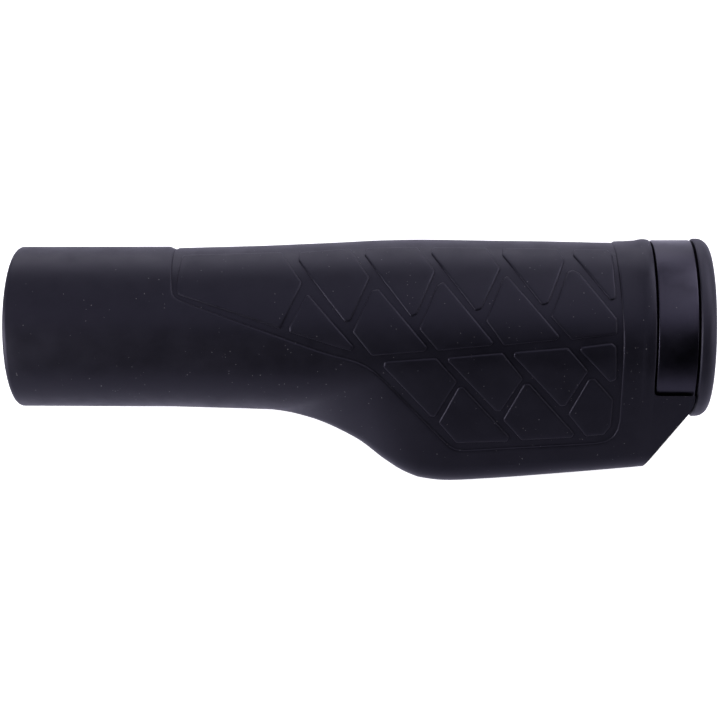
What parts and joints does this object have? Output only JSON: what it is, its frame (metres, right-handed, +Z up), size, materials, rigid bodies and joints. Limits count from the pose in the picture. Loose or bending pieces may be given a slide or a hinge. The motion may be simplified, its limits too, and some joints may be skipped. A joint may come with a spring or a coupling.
{
  "type": "handlebar grip",
  "caption": "Black lock-on bicycle handlebar grip, right hand: round rubber sleeve that widens into a grooved palm wing, metal clamp ring and plastic end cap at the outer end.",
  "frame": {"origin": "on the bar axis, at the inner end face of the sleeve", "axes": "+X along the bar axis towards the end cap, +Z up from the flat surface that the grip lies on, wing towards -Y; the grip is rolled about X so that the barrel and the wing's edge touch that surface"},
  "size_m": [0.1351, 0.0468, 0.0349],
  "materials": {
    "rubber": "satin black moulded rubber",
    "liner_plastic": "matte black moulded plastic",
    "anodised_aluminium": "black anodised, fine blasted",
    "bolt_steel": "blackened steel",
    "cap_plastic": "matte black moulded plastic"
  },
  "bodies": {
    "root": {"rubber_grip": "rubber", "core_sleeve": "liner_plastic", "clamp_ring": "anodised_aluminium", "clamp_bolt": "bolt_steel", "end_cap": "cap_plastic"}
  },
  "joints": []
}
